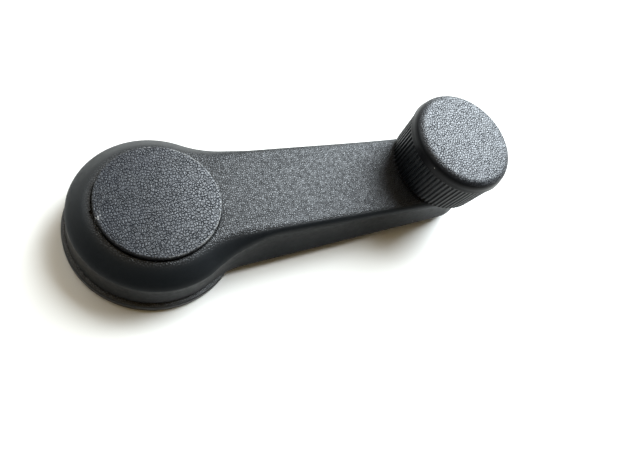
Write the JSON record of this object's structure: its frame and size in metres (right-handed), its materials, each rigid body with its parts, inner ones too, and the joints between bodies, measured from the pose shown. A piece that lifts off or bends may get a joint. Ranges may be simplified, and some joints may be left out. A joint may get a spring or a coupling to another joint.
{
  "type": "car window winder handle",
  "caption": "Hand crank for a car door window: a capped hub on a trim ring, a straight arm and a fluted knob that spins on a spindle.",
  "frame": {"origin": "the hub's axis in the plane of the door trim, at the mouth of the spindle bore", "axes": "+X from the hub to the knob, +Z along the hub's axis away from the door"},
  "size_m": [0.1443, 0.0508, 0.0362],
  "materials": {
    "black_plastic": "fine moulded grain, satin",
    "grained_plastic": "leather-like moulded grain, satin",
    "felt": "pressed felt",
    "steel": "pressed and turned steel, lightly oiled",
    "zinc_plate": "zinc-plated, slightly yellow",
    "zinc_casting": "dull die casting",
    "acetal": "waxy natural acetal"
  },
  "bodies": {
    "ring": {"base_ring": "black_plastic", "felt_ring": "felt", "glide_ring": "acetal"},
    "crank": {"crank_shell": "black_plastic", "arm_core": "steel", "core_screws": "zinc_plate", "spline_insert": "zinc_casting", "flat_washer": "zinc_plate", "lock_washer": "steel", "fixing_screw": "zinc_plate", "knob_spindle": "steel", "rivet_washer": "zinc_plate", "wave_washer": "steel", "lower_thrust_washer": "zinc_plate", "upper_thrust_washer": "zinc_plate", "e_clip": "steel"},
    "cap": {"hub_cap": "grained_plastic"},
    "knob": {"knob_bush": "acetal", "knob_shell": "black_plastic", "knob_cap": "grained_plastic"}
  },
  "joints": [
    {"name": "crank_turn", "type": "hinge", "parent": "ring", "child": "crank", "pos_m": [0, 0, 0], "axis": [0, 0, 1], "continuous": true},
    {"name": "knob_spin", "type": "hinge", "parent": "crank", "child": "knob", "pos_m": [0.1, 0, 0], "axis": [0, 0, 1], "continuous": true},
    {"name": "cap_lift", "type": "slide", "parent": "crank", "child": "cap", "axis": [0, 0, 1], "range_m": [0, 0.014]}
  ]
}
